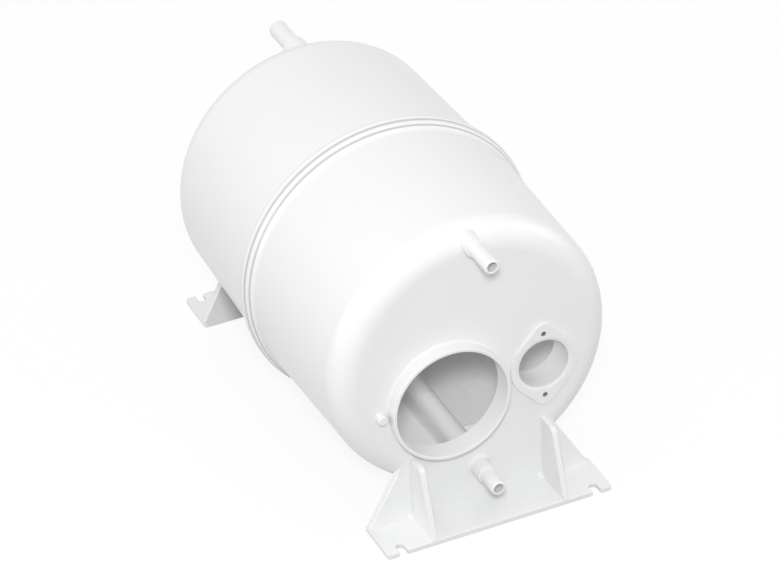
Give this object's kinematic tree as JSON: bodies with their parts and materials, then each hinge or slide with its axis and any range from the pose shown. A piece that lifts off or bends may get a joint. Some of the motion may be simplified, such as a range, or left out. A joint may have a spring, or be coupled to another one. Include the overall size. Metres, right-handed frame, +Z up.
{
  "type": "caravan water heater container",
  "caption": "White moulded water container of a caravan heater: a drum welded in the middle, on two slotted feet, with burner and element openings and water spigots.",
  "frame": {"origin": "on the ground under the tank's axis, in the plane of the front face", "axes": "+Z up; the tank lies along Y and its front face, with the burner opening, looks towards -Y; +X is to the right as one faces the front face"},
  "size_m": [0.2545, 0.4105, 0.2622],
  "materials": {
    "white_plastic": "smooth glossy white moulding"
  },
  "bodies": {
    "root": {"front_shell": "white_plastic", "rear_shell": "white_plastic", "front_weld_bead": "white_plastic", "rear_weld_bead": "white_plastic", "burner_collar": "white_plastic", "collar_peg": "white_plastic", "element_flange": "white_plastic", "element_sleeve": "white_plastic", "hot_outlet_boss": "white_plastic", "hot_outlet_spigot": "white_plastic", "cold_inlet_boss": "white_plastic", "cold_inlet_spigot": "white_plastic", "rear_vent_boss": "white_plastic", "rear_vent_spigot": "white_plastic", "inlet_duct": "white_plastic", "drain_stub": "white_plastic", "front_foot_plate": "white_plastic", "front_foot_base": "white_plastic", "front_foot_left_gusset": "white_plastic", "front_foot_right_gusset": "white_plastic", "rear_foot_plate": "white_plastic", "rear_foot_base": "white_plastic", "rear_foot_left_gusset": "white_plastic", "rear_foot_right_gusset": "white_plastic"}
  },
  "joints": []
}
